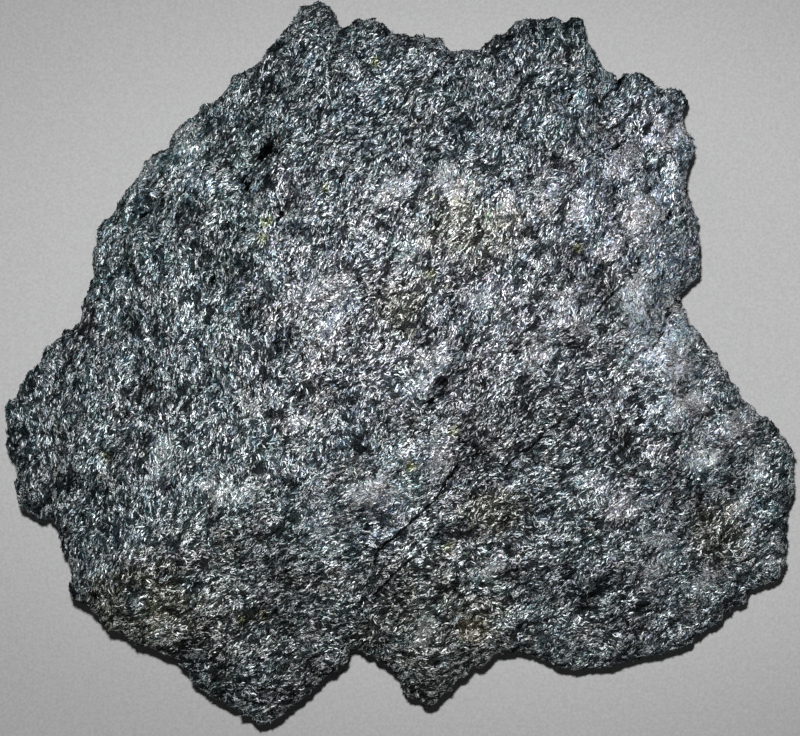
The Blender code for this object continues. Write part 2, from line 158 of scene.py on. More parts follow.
# Slopes for the corners of the noise's lattice, and the numbers that pick one from a corner's place
SLOPES = unit(np.random.default_rng(7).standard_normal((1024, 3)))
MIX = (73856093, 19349663, 83492791)
SEED_MIX = 40503
SPREAD = 2654435
NOISE_GAIN = 1.6

# The least that a grain zone counts
GRAIN_LEAST = 0.03


def lattice_slopes(corner, seed):
    """A repeatable, random-looking slope for each corner of a cubic lattice."""
    key = corner[:, 0] * MIX[0] ^ corner[:, 1] * MIX[1] ^ corner[:, 2] * MIX[2] ^ seed * SEED_MIX
    key = (key ^ key >> 15) * SPREAD
    return SLOPES[(key ^ key >> 13) % len(SLOPES)]


def noise(points, wavelength, seed):
    """Smooth noise from about -1 to 1 in space. The wavelength may differ along each axis."""
    scaled = points / wavelength
    cell = np.floor(scaled).astype(np.int64)
    part = scaled - cell
    fade = part * part * part * (part * (part * 6.0 - 15.0) + 10.0)
    total = np.zeros(len(points))
    for dx in (0, 1):
        for dy in (0, 1):
            for dz in (0, 1):
                slopes = lattice_slopes(cell + (dx, dy, dz), seed)
                share = np.abs(1 - dx - fade[:, 0]) * np.abs(1 - dy - fade[:, 1])
                share *= np.abs(1 - dz - fade[:, 2])
                total += share * np.einsum("ij,ij->i", slopes, part - (dx, dy, dz))
    return NOISE_GAIN * total


def zone_weights(points):
    """How much each grain zone counts at each point."""
    weights = []
    for px, py, reach, _ in GRAIN_ZONES.values():
        gap = np.linalg.norm(points[:, :2] - plan(px, py), axis=1)
        weights.append(np.exp(-(gap / (reach * MM)) ** 2) + 1e-6)
    weights = np.array(weights)
    return weights / weights.sum(axis=0)


def warped(points, length, reach, seed):
    """The points pushed about by slow noise, so that what is drawn on them swirls."""
    return points + reach * np.column_stack([noise(points, length, seed + axis) for axis in range(3)])


def grained(points, length, width, seed):
    """Noise drawn out along the grain, from about -1 to 1."""
    total = np.zeros(len(points))
    weights = zone_weights(points)
    weights /= np.sqrt((weights ** 2).sum(axis=0))
    for weight, (_, _, _, run) in zip(weights, GRAIN_ZONES.values()):
        cos, sin = math.cos(math.radians(run)), math.sin(math.radians(run))
        along = points[:, 0] * cos + points[:, 1] * sin
        across = points[:, 1] * cos - points[:, 0] * sin
        local = np.column_stack([along, across, points[:, 2]])
        near = weight > GRAIN_LEAST
        total[near] += weight[near] * noise(local[near], np.array([length, width, length]), seed)
    return total


def threads(points):
    """How high each point stands on the threads of the surface. Below 0 it lies in a valley."""
    return sum(strength * grained(points, length, width, seed) for length, width, seed, strength in THREADS)


def grain_angle(points):
    """The way of the grain in plan at each point, in radians, swirled a little."""
    weights = zone_weights(points)
    runs = np.radians([run for _, _, _, run in GRAIN_ZONES.values()])
    angle = 0.5 * np.arctan2(np.sin(2 * runs) @ weights, np.cos(2 * runs) @ weights)
    for wavelength, turn, seed in GRAIN_SWIRLS:
        angle = angle + turn * noise(points, wavelength, seed)
    return angle


def grain_direction(points, normals, by_crack, crack_angle):
    """The unit vector along the grain at each point of the surface, or along the crack beside it."""
    angle = np.where(by_crack, crack_angle, grain_angle(points))
    flat = np.column_stack([np.cos(angle), np.sin(angle), np.zeros(len(points))])
    level = unit(np.cross(np.array([0.0, 0.0, 1.0]), normals) + 1e-9)
    steep = smooth_step((0.75 - np.abs(normals[:, 2])) / 0.35)[:, None]
    level *= np.sign((level * flat).sum(axis=1) + 1e-9)[:, None]
    run = flat * (1.0 - steep) + level * steep
    return unit(run - (run * normals).sum(axis=1)[:, None] * normals)


def vertex_normals(vertices, faces):
    """The mean normal at each vertex, by area."""
    corners = vertices[faces]
    area = np.cross(corners[:, 1] - corners[:, 0], corners[:, 2] - corners[:, 0])
    total = np.zeros_like(vertices)
    for side in range(3):
        np.add.at(total, faces[:, side], area)
    return unit(total)


def welded_solid(node):
    """The corners and triangles of the CAD solid, with each corner stored once."""
    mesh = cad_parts[node].data
    mesh.calc_loop_triangles()
    points = np.empty(len(mesh.vertices) * 3)
    mesh.vertices.foreach_get("co", points)
    faces = np.empty(len(mesh.loop_triangles) * 3, np.int32)
    mesh.loop_triangles.foreach_get("vertices", faces)
    points = points.reshape(-1, 3)
    _, first, index = np.unique(
        np.round(points / (0.001 * MM)).astype(np.int64), axis=0, return_index=True, return_inverse=True
    )
    return points[first], index.reshape(-1)[faces.reshape(-1, 3)]


def split(vertices, faces):
    """Each triangle as four, with the new corners rounded over between the normals of the old."""
    normals = vertex_normals(vertices, faces)
    ends = np.sort(np.concatenate([faces[:, [0, 1]], faces[:, [1, 2]], faces[:, [2, 0]]]), axis=1)
    edges, index = np.unique(ends, axis=0, return_inverse=True)
    start, end = vertices[edges[:, 0]], vertices[edges[:, 1]]
    middle = 0.5 * (start + end)
    rounded = np.zeros_like(middle)
    for corner, normal in ((start, normals[edges[:, 0]]), (end, normals[edges[:, 1]])):
        above = ((middle - corner) * normal).sum(axis=1)[:, None]
        rounded += 0.5 * (middle - above * normal)
    middle += ROUNDING * (rounded - middle)
    ab, bc, ca = index.reshape(3, -1) + len(vertices)
    a, b, c = faces.T
    quarters = [(a, ab, ca), (ab, b, bc), (ca, bc, c), (ab, bc, ca)]
    return np.vstack([vertices, middle]), np.vstack([np.column_stack(q) for q in quarters])


def crumpled(vertices, faces):
    """The refined surface pushed in and out by folds, lumps, knobs, thin layers and cracks."""
    normals = vertex_normals(vertices, faces)
    up = smooth_step((normals[:, 2] - 0.15) / 0.4)
    down = smooth_step((-normals[:, 2] - 0.5) / 0.3) * (vertices[:, 2] < BUMPS_LEVEL)
    side = (1.0 - up) * (1.0 - down)
    swirled = warped(vertices, *FOLD_WARP)
    push = np.zeros(len(vertices))
    for length, width, height, seed in FOLDS:
        fold = np.abs(grained(swirled, length, width, seed))
        push += height * (fold - FOLD_MIDDLE) * (up + SIDE_FOLDS * side)
    for wavelength, height, seed in LUMPS:
        push += height * noise(vertices, wavelength, seed) * (up + side)
    length, thickness, relief, seed = LAYERS
    push += relief * noise(vertices, np.array([length, length, thickness]), seed) * side
    for wavelength, height, seed in RIM_KNOBS:
        push += height * (np.abs(noise(vertices, wavelength, seed)) - KNOB_MIDDLE) * side
    push -= CRACK_DEPTH * np.exp(-(crack_gap(vertices)[0] / CRACK_SIDES) ** 2)
    moved = vertices + push[:, None] * normals
    wavelength, height, seed = UNDERSIDE_BUMPS
    lift = height * (1.0 + noise(vertices, wavelength, seed)) * down
    moved[:, 2] = np.maximum(moved[:, 2], 0.0) + lift
    return moved


# How light the rock is by area, and its cast. The lightness is partly the rock's own tone and partly
# painted light and shade, darker where the flash falls off and lighter where the ground tilts away from
# the flash: place in pixels, reach in mm, lightness, red and blue
LIGHT_ZONES = {
    "plateau": (450, 315, 15.0, 1.15, 0.94, 1.07),
    "north": (430, 95, 10.0, 0.93, 0.88, 1.08),
    "north_east": (655, 190, 8.0, 2.20, 0.92, 1.09),
    "east": (695, 385, 7.0, 1.85, 0.92, 1.07),
    "west": (115, 430, 10.0, 0.95, 0.87, 1.06),
    "north_west": (160, 235, 8.0, 1.35, 0.86, 1.05),
    "south_west": (230, 630, 10.0, 0.58, 0.90, 1.01),
    "tongue": (440, 630, 7.0, 0.75, 0.93, 0.98),
    "south_east": (650, 535, 11.0, 1.15, 0.90, 1.06),
    "middle": (400, 480, 7.0, 1.35, 0.90, 1.06),
}

# The lightness, red and blue away from all areas, and how much they count
ELSEWHERE = (0.85, 0.85, 1.05)
ELSEWHERE_WEIGHT = 0.02

# Areas that stand out from their zone, mostly painted light on ridges and shoulders and painted shade in
# hollows, folds and below ledges, the rest the rock's own tone: place in pixels, reach in mm, and lightness
# against the zone
PAINTED_LIGHT_AND_TONE = {
    "above_the_ledge": (470, 438, 4.4, 0.15),
    "middle_of_the_ledge": (530, 408, 4.2, 0.29),
    "below_the_ledge": (518, 529, 4.8, 0.40),
    "east_foot": (625, 440, 4.0, 0.26),
    "west_hollow": (160, 390, 3.2, 0.36),
    "north_west_hollow": (207, 245, 3.6, 0.28),
    "south_west_hollow": (287, 578, 4.0, 0.29),
    "lobe_hollow": (391, 586, 4.0, 0.28),
    "south_east_hollow": (625, 622, 4.2, 0.26),
    "notch_shoulder": (645, 310, 5.0, 3.30),
    "east_shoulder": (662, 348, 3.6, 2.90),
    "middle_ridge": (440, 386, 3.4, 2.35),
    "south_ridge": (390, 485, 4.8, 2.75),
    "south_west_ridge": (314, 530, 4.2, 3.20),
    "tongue_ridge": (483, 575, 2.8, 1.80),
    "west_foot": (161, 622, 2.6, 3.10),
    "north_west_ridge": (290, 232, 4.2, 1.92),
    "west_rim": (115, 253, 2.6, 1.45),
    "north_ridge": (444, 198, 4.2, 2.30),
    "upper_left_facet": (225, 115, 3.2, 1.40),
    "horn_foot": (575, 115, 2.8, 2.30),
    "east_ridge": (713, 460, 3.6, 1.85),
    "south_east_ridge": (667, 550, 3.6, 1.30),
    "north_east_rim": (667, 255, 3.4, 2.50),
    "horn_side": (623, 125, 3.4, 0.52),
    "ledge_foot": (480, 487, 3.4, 0.50),
    "south_east_fold": (588, 486, 3.8, 0.55),
    "east_fold": (652, 391, 2.8, 0.74),
    "east_plateau": (527, 275, 4.2, 1.60),
    "middle_east_ridge": (483, 345, 2.6, 1.25),
    "west_ridge": (215, 485, 3.4, 2.20),
    "north_east_plateau": (568, 195, 4.0, 1.30),
    "west_middle_hollow": (250, 396, 2.8, 0.60),
    "west_streak": (207, 391, 2.4, 1.25),
    "middle_fold": (578, 347, 3.0, 0.43),
    "plateau_foot": (310, 350, 3.0, 0.70),
    "east_rim": (755, 525, 2.4, 1.35),
    "west_plateau_foot": (207, 299, 2.6, 0.72),
    "north_step": (391, 158, 2.6, 0.80),
    "north_hollow": (437, 112, 2.8, 0.80),
    "north_east_step": (529, 161, 2.4, 0.84),
    "north_east_fold": (667, 161, 2.4, 0.84),
    "middle_east_streak": (575, 391, 2.2, 1.20),
    "lobe_west": (345, 623, 3.0, 0.66),
    "west_plateau": (340, 292, 4.8, 0.62),
    "west_fold": (140, 299, 3.2, 0.70),
    "south_fold": (443, 531, 3.4, 0.38),
    "south_east_foot": (713, 555, 3.6, 0.62),
    "tongue_side": (575, 580, 3.6, 0.52),
    "south_west_fold": (106, 495, 4.0, 0.53),
}

# How the cast varies from place to place: length, change of red, change of blue, and first seed
CAST_NOISE = [(4.5 * MM, 0.06, 0.05, 80), (1.4 * MM, 0.05, 0.05, 84)]

# Streaks along the grain and blotches, lighter and darker: length, width or none, seed and strength
WIDE_STREAKS = (5.0 * MM, 2.4 * MM, 61, 0.32)
FINE_STREAKS = (2.2 * MM, 1.2 * MM, 63, 0.38)
BLOTCHES = (3.6 * MM, 62, 0.36)

# The ragged edges of patches and stains: length, strength and seed
EDGES = [(1.6 * MM, 0.35, 71), (0.7 * MM, 0.35, 74)]
PATCH_FRAY = 1.6
STAIN_FRAY = 1.4

# The length and width of a patch for its radius
PATCH_LENGTH = 1.5
PATCH_WIDTH = 0.75

# How much lighter the patches with a painted glint are, and how sharp their edges
GLINT_GAIN = 0.52
GLINT_SHARPNESS = 1.5

# Patches with a painted glint, lighter in colour where flat flakes would catch the flash: place in pixels
# and radius in mm
GLINT_PATCHES = [
    (322, 295, 3.4), (330, 330, 2.2), (450, 182, 2.4), (507, 212, 2.0), (412, 250, 1.6), (640, 222, 2.4),
    (430, 366, 2.4), (560, 310, 2.4), (165, 460, 2.2), (222, 482, 1.8), (366, 490, 1.8), (440, 450, 2.4),
    (590, 480, 2.0), (622, 506, 2.0), (490, 565, 1.6), (726, 430, 2.4), (672, 370, 1.8), (670, 405, 1.8),
    (425, 626, 1.8), (190, 140, 2.6), (150, 170, 2.0), (620, 165, 2.0), (655, 130, 1.6), (395, 190, 2.0),
    (540, 350, 2.0), (480, 300, 1.8), (610, 400, 1.8), (300, 420, 1.6), (250, 400, 1.4), (740, 500, 1.4),
    (669, 140, 1.8), (632, 195, 1.3), (651, 201, 1.2), (685, 131, 1.0), (677, 309, 1.2), (584, 317, 1.8),
    (664, 346, 2.8), (634, 300, 2.6), (605, 250, 1.2), (545, 195, 1.8), (575, 215, 1.6), (250, 490, 1.6),
    (700, 456, 1.8), (655, 538, 1.6), (660, 562, 1.6), (705, 580, 1.6), (690, 400, 1.8), (755, 470, 1.6),
]

# How much painted shade darkens the hollows, and how sharp their edges
HOLLOW_SHADE = 0.95
HOLLOW_SHARPNESS = 3.0

# Painted shade of deep hollows between folds, in colour alone: place in pixels and radius in mm
SHADED_HOLLOWS = [
    (264, 155, 1.0), (247, 187, 0.6), (342, 183, 0.4), (282, 218, 0.4), (245, 232, 0.45), (233, 207, 0.4),
    (315, 88, 0.35), (215, 280, 0.45), (250, 310, 0.5), (437, 381, 0.55), (430, 400, 0.45), (459, 437, 0.45),
    (645, 131, 0.7), (648, 191, 0.45), (619, 82, 0.6), (685, 102, 0.5), (667, 216, 0.4), (613, 150, 0.4),
    (632, 388, 0.5), (570, 100, 0.45), (635, 130, 0.4), (515, 75, 0.4), (368, 525, 0.5), (145, 215, 0.4),
]

# Open cracks and the foot of the largest ledge, as lines of pixels
CRACKS = {
    "east": [(690, 300), (676, 301), (668, 310), (664, 320), (660, 333), (649, 348)],
    "north_east": [(620, 286), (604, 300), (587, 322)],
    "middle": [(557, 422), (543, 430), (530, 445), (517, 452), (505, 464), (497, 462)],
    "south": [(458, 462), (447, 478), (433, 500), (415, 517), (395, 535), (380, 545), (375, 555)],
    "lobe": [(425, 545), (400, 566), (375, 592)],
}

# Half the width of a crack, how far out the stone sinks and the flakes turn along it, its depth, and
# how light the flakes in it are painted, as shade in the crack
CRACK_WIDTH = 0.19 * MM
CRACK_SIDES = 0.40 * MM
CRACK_DEPTH = 0.12 * MM
CRACK_SHADE = 0.005

# Noise that makes the cracks wander: length, reach and seed
CRACK_WANDER = (0.9 * MM, 0.16 * MM, 90)

# Lightness of the flakes in linear light, as seen where the flash catches them, and the most it may be
FLAKE_LIGHT = 1.25
LIGHTEST = 0.60

# How much the cast varies from flake to flake and the least it may be, its power in dark and in pale
# flakes, and how soon a flake counts as pale
FLAKE_CAST = 0.04
LEAST_CAST = 0.3
DEEP_CAST = 2.3
PALE_CAST = 0.55
PALE_SPEED = 1.5

# Casts of stains and other minerals
OLIVE = np.array([0.99, 0.99, 0.84])
BLUE_GREY = np.array([0.84, 1.03, 1.08])
EPIDOTE = np.array([0.97, 1.05, 0.66])
BEIGE = np.array([1.28, 1.14, 0.90])

# How the patches with a painted glint change the cast
GLINT_CAST = np.array([0.03, 0.00, -0.01])

# Stains and grains of other minerals: place in pixels, the two radii in mm, colour and strength
STAINS = {
    "south_west_olive": (150, 600, 7.5, 5.0, OLIVE, 0.8),
    "north_olive": (465, 230, 6.0, 4.5, OLIVE, 0.6),
    "middle_olive": (398, 310, 3.2, 3.4, OLIVE, 0.6),
    "south_olive": (492, 510, 4.2, 3.2, OLIVE, 0.7),
    "south_east_olive": (718, 530, 3.8, 4.4, OLIVE, 0.6),
    "tongue_beige": (470, 630, 2.4, 1.8, BEIGE, 0.6),
    "north_west_blue": (345, 35, 2.4, 1.6, BLUE_GREY, 0.7),
    "north_horn_blue": (550, 40, 3.0, 1.5, BLUE_GREY, 0.7),
    "north_blue": (450, 95, 2.6, 1.6, BLUE_GREY, 0.6),
    "west_blue": (210, 330, 2.0, 1.6, BLUE_GREY, 0.6),
    "south_west_blue": (195, 580, 2.0, 1.4, BLUE_GREY, 0.7),
    "south_west_rim_blue": (138, 596, 1.8, 2.4, BLUE_GREY, 0.7),
    "middle_blue": (400, 250, 2.2, 1.6, BLUE_GREY, 0.6),
    "south_blue": (410, 480, 1.8, 1.4, BLUE_GREY, 0.6),
    "east_blue": (775, 515, 1.6, 2.0, BLUE_GREY, 0.6),
}
EPIDOTE_SPOTS = [
    (325, 190), (268, 225), (265, 240), (410, 465), (430, 275), (455, 430), (575, 250), (375, 65),
    (110, 455), (265, 612), (243, 617), (448, 545),
]
EPIDOTE_RADIUS = 0.7 * MM
EPIDOTE_STRENGTH = 0.8

# Patches, stains and cracks lie above this height, and the single areas of painted light and tone come in
# over the next few millimetres
TOP_LEVEL = 4.0 * MM
TOP_FADE = 5.0 * MM


def patch_share(points, px, py, radii, edge):
    """From 1 in the middle of a ragged patch to 0 outside it, on the top alone."""
    gap = np.linalg.norm((points[:, :2] - plan(px, py)) / radii, axis=1)
    return smooth_step(1.5 - gap + STAIN_FRAY * edge) * (points[:, 2] > TOP_LEVEL)


def grained_patch(points, px, py, radius, edge, sharpness):
    """The same for a patch that is drawn out along the grain."""
    centre = np.append(plan(px, py), 0.0)[None, :]
    angle = grain_angle(centre)[0]
    step = points[:, :2] - centre[0, :2]
    along = (step[:, 0] * math.cos(angle) + step[:, 1] * math.sin(angle)) / (PATCH_LENGTH * radius)
    across = (step[:, 1] * math.cos(angle) - step[:, 0] * math.sin(angle)) / (PATCH_WIDTH * radius)
    inside = 1.0 - np.hypot(along, across) + PATCH_FRAY * edge
    return smooth_step(0.5 + sharpness * inside) * (points[:, 2] > TOP_LEVEL)


def crack_gap(points):
    """How far each point lies from the nearest crack in plan, and the way that the crack runs there."""
    nearest = np.full(len(points), 1.0)
    angle = np.zeros(len(points))
    places = warped(points, *CRACK_WANDER)[:, :2]
    for line in CRACKS.values():
        corners = [plan(*corner) for corner in line]
        for start, end in zip(corners, corners[1:]):
            step = end - start
            share = np.clip((places - start) @ step / (step @ step), 0.0, 1.0)
            gap = np.linalg.norm(places - start - share[:, None] * step, axis=1)
            angle[gap < nearest] = math.atan2(step[1], step[0])
            nearest = np.minimum(nearest, gap)
    nearest[points[:, 2] < TOP_LEVEL] = 1.0
    return nearest, angle


def zone_light(points):
    """The lightness, red cast and blue cast of the areas of the photograph at each point, with painted light
    and shade in the lightness.
    """
    total = np.tile(ELSEWHERE_WEIGHT * np.array(ELSEWHERE), (len(points), 1))
    weights = np.full(len(points), ELSEWHERE_WEIGHT)
    for px, py, reach, *values in LIGHT_ZONES.values():
        gap = np.linalg.norm(points[:, :2] - plan(px, py), axis=1)
        weight = np.exp(-(gap / (reach * MM)) ** 2)
        total += weight[:, None] * values
        weights += weight
    light, red, blue = (total / weights[:, None]).T
    raised = smooth_step((points[:, 2] - TOP_LEVEL) / TOP_FADE)
    # Painted light on ridges and shoulders and painted shade in hollows, folds and below ledges, with some
    # of the rock's own tone
    for px, py, reach, light_and_tone in PAINTED_LIGHT_AND_TONE.values():
        gap = np.linalg.norm(points[:, :2] - plan(px, py), axis=1)
        light = light * light_and_tone ** (raised * np.exp(-(gap / (reach * MM)) ** 2))
    return light, red, blue


def shade(points, edge):
    """How light each point is against its area, in streaks and blotches of tone, a painted glint on patches
    and painted shade in hollows and creases, and how much glint it has.
    """
    length, width, seed, strength = WIDE_STREAKS
    wide = strength * grained(points, length, width, seed)
    wavelength, seed, strength = BLOTCHES
    light = np.exp(wide + strength * noise(points, wavelength, seed))
    length, width, seed, strength = FINE_STREAKS
    light *= np.exp(strength * grained(points, length, width, seed))
    # A painted glint on the patches
    glint = np.zeros(len(points))
    for px, py, radius in GLINT_PATCHES:
        patch = grained_patch(points, px, py, radius * MM, edge, GLINT_SHARPNESS)
        glint = np.maximum(glint, patch)
    light *= 1.0 + GLINT_GAIN * glint
    # Painted shade in the hollows
    for px, py, radius in SHADED_HOLLOWS:
        light *= 1.0 - HOLLOW_SHADE * grained_patch(points, px, py, radius * MM, edge, HOLLOW_SHARPNESS)
    # Painted shade in the creases between the folds
    swirled = warped(points, *FOLD_WARP)
    for (length, width, _, seed), dark in zip(FOLDS, CREASE_SHADE):
        crease = np.abs(grained(swirled, length, width, seed)) / CREASE_WIDTH
        light *= 1.0 - dark * (1.0 - smooth_step(crease))
    return light, glint


def rock_look(points):
    """How light each point's area is, how light the point is against it, how much painted glint it has, and
    its cast.
    """
    edge = sum(strength * noise(points, wavelength, seed) for wavelength, strength, seed in EDGES)
    light, red, blue = zone_light(points)
    for wavelength, red_change, blue_change, seed in CAST_NOISE:
        warm = noise(points, wavelength, seed)
        red += red_change * (warm + 0.4 * noise(points, wavelength, seed + 1))
        blue += blue_change * (0.8 * noise(points, wavelength, seed + 2) - 0.4 * warm)
    cast = np.column_stack([red, np.ones(len(points)), blue])
    for px, py, across, along, stain, strength in STAINS.values():
        share = strength * patch_share(points, px, py, np.array([across, along]) * MM, edge)[:, None]
        cast += share * (stain - cast)
    for px, py in EPIDOTE_SPOTS:
        share = EPIDOTE_STRENGTH * patch_share(points, px, py, EPIDOTE_RADIUS, edge)[:, None]
        cast += share * (EPIDOTE - cast)
    shading, glint = shade(points, edge)
    cast += glint[:, None] * GLINT_CAST
    return light, shading, glint, cast


def made_mesh(name, vertices, triangles, colour, places):
    """A mesh from arrays, with a colour for each corner and a bake map with a place for each loop."""
    mesh = bpy.data.meshes.new(name)
    mesh.vertices.add(len(vertices))
    mesh.vertices.foreach_set("co", vertices.astype(np.float32).ravel())
    mesh.loops.add(triangles.size)
    mesh.loops.foreach_set("vertex_index", triangles.astype(np.int32).ravel())
    mesh.polygons.add(len(triangles))
    mesh.polygons.foreach_set("loop_start", np.arange(0, triangles.size, 3, dtype=np.int32))
    mesh.update(calc_edges=True)
    tint = mesh.color_attributes.new("tint", "FLOAT_COLOR", "POINT")
    rgba = np.column_stack([colour, np.ones(len(colour))])
    tint.data.foreach_set("color", rgba.astype(np.float32).ravel())
    bake = mesh.uv_layers.new(name="OFBake")
    bake.uv.foreach_set("vector", places.astype(np.float32).ravel())
    mesh.validate()
    return mesh


def added(mesh, material):
    """The mesh as an object that rides on the slab, with the material given."""
    mesh.materials.append(material)
    piece = bpy.data.objects.new(mesh.name, mesh)
    bpy.context.scene.collection.objects.link(piece)
    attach(piece, "root")
    return piece


def scattered(surface, share, count, rng):
    """Points spread over the surface by area times each triangle's share, with their normals."""
    vertices, faces, normals = surface
    corners = vertices[faces]
    area = np.linalg.norm(np.cross(corners[:, 1] - corners[:, 0], corners[:, 2] - corners[:, 0]), axis=1)
    chance = np.cumsum(area * share)
    picked = np.searchsorted(chance, rng.random(count) * chance[-1])
    first, second = rng.random(count), rng.random(count)
    over = first + second > 1.0
    first[over], second[over] = 1.0 - first[over], 1.0 - second[over]
    weights = np.column_stack([1.0 - first - second, first, second])[:, :, None]
    places = (corners[picked] * weights).sum(axis=1)
    return places, unit((normals[faces[picked]] * weights).sum(axis=1))


# Flake sizes: length, width and height above the stone, each from least to most
TOP_FLAKES = ((0.50 * MM, 1.30 * MM), (0.07 * MM, 0.18 * MM), (-0.02 * MM, 0.07 * MM))
SIDE_FLAKES = ((0.50 * MM, 1.40 * MM), (0.18 * MM, 0.40 * MM), (-0.03 * MM, 0.10 * MM))
UNDER_FLAKES = ((1.10 * MM, 2.60 * MM), (0.70 * MM, 1.70 * MM), (-0.05 * MM, 0.01 * MM))

# How many flakes each piece has, how many pieces the top takes, and the seeds of their random choices
TOP_COUNT = 43500
TOP_PIECES = 4
SIDE_COUNT = 33000
UNDER_COUNT = 8000
TOP_SEED = 201
SIDE_SEED = 301
UNDER_SEED = 401

# How far up a triangle faces on the top and on the underside, and the height that the underside ends at
TOP_FACING = 0.25
UNDER_FACING = -0.5
UNDER_LEVEL = 2.5 * MM

# The underside has fewer and duller flakes on paler stone, and the stone under a painted glint is paler too
UNDER_FLAKE_LIGHT = 0.45
UNDER_STONE_LIFT = 3.0
GLINT_STONE_LIFT = 2.0

# A flake's outline, along and across, from -1 to 1, and its triangles
FLAKE_OUTLINE = [(1.0, 0.0), (0.4, 1.0), (0.4, -1.0), (-0.4, 1.0), (-0.4, -1.0), (-1.0, 0.0)]
FLAKE_TRIANGLES = [(0, 1, 2), (1, 3, 4), (1, 4, 2), (3, 5, 4)]

# Where its tips start to droop, how much they do, how far it curves, and what keeps the curve centred
FLAKE_SHOULDER = 0.4
FLAKE_DROOP = (0.02, 0.22)
FLAKE_BEND = 0.45
FLAKE_BEND_MIDDLE = 0.4

# How many times longer than wide the fibres on it are
FIBRE_STRETCH = 2.4

# How much the flakes turn, pitch and roll at random
FLAKE_TURN = 0.28
FLAKE_PITCH = 0.14
FLAKE_ROLL = 0.18

# How much more than the ground the flakes face upward, anywhere and on steep ground
FLAKE_LEVEL = 0.4
FLAKE_STEEP_LEVEL = 1.3

# How much the flakes differ in lightness, how much the threads narrow in the dark, and how many are dark
FLAKE_SPREAD = 0.50
THREAD_SHADE = 0.35
DARK_FLAKES = 0.20
DARK_FLAKE_LIGHT = 0.07


def flake_axes(places, normals, gap, crack_angle, rng):
    """The way that each flake runs, its side and its face, and how high its place is on the threads."""
    run = grain_direction(places, normals, gap < CRACK_SIDES, crack_angle)
    side = np.cross(normals, run)
    angle = (FLAKE_TURN * rng.standard_normal(len(places)) * (gap > CRACK_SIDES))[:, None]
    run, side = run * np.cos(angle) + side * np.sin(angle), side * np.cos(angle) - run * np.sin(angle)

    swirled = warped(places, *THREAD_WARP)
    level = threads(swirled)
    rise_along = (threads(swirled + THREAD_STEP * run) - level)[:, None] / THREAD_STEP
    rise_across = (threads(swirled + THREAD_STEP * side) - level)[:, None] / THREAD_STEP
    thread = unit(rise_across * run - rise_along * side) * np.sign(rise_across)
    slope = THREAD_HEIGHT * (rise_along * run + rise_across * side)

    tilt = FLAKE_PITCH * rng.standard_normal(len(places))[:, None] * run
    tilt += FLAKE_ROLL * rng.standard_normal(len(places))[:, None] * side
    upright = FLAKE_LEVEL + FLAKE_STEEP_LEVEL * (1.0 - normals[:, 2])
    upright = upright * smooth_step((normals[:, 2] - 0.1) / 0.4)
    face = unit(unit(normals + upright[:, None] * (0.0, 0.0, 1.0)) + tilt - slope)
    pull = np.where(gap < CRACK_SIDES, CRACK_PULL, THREAD_PULL)[:, None]
    run = unit(thread + pull * run)
    run = unit(run - (run * face).sum(axis=1)[:, None] * face)
    return run, np.cross(face, run), face, level


def flake_colours(places, level, gap, gain, rng):
    """The colour of each flake: that of its area, patch and thread, changed at random, with painted light
    and shade from all of them and painted shade in the cracks.
    """
    count = len(places)
    area_light, light, glint, cast = rock_look(places)
    # Painted shade: a flake low in a thread's valley is darker
    factor = smooth_step(THREAD_LEVEL + level + THREAD_SHADE * np.log(light))
    factor *= np.exp(FLAKE_SPREAD * rng.standard_normal(count))
    dark = rng.random(count) < DARK_FLAKES * (1.0 - 0.5 * glint)
    factor *= np.where(dark, DARK_FLAKE_LIGHT, 1.0)
    valley = VALLEY_LIGHT + GLINT_VALLEY_LIGHT * glint
    factor = valley + (1.0 - valley) * factor
    # Painted shade in the cracks
    factor *= np.where(gap < CRACK_WIDTH, CRACK_SHADE, 1.0)
    cast = np.maximum(cast * (1.0 + FLAKE_CAST * rng.standard_normal((count, 3))), LEAST_CAST)
    cast **= (DEEP_CAST - (DEEP_CAST - PALE_CAST) * smooth_step(PALE_SPEED * factor))[:, None]
    value = gain * FLAKE_LIGHT * area_light * light * factor
    return (value * (1.0 + (value / LIGHTEST) ** 3) ** (-1.0 / 3.0))[:, None] * cast


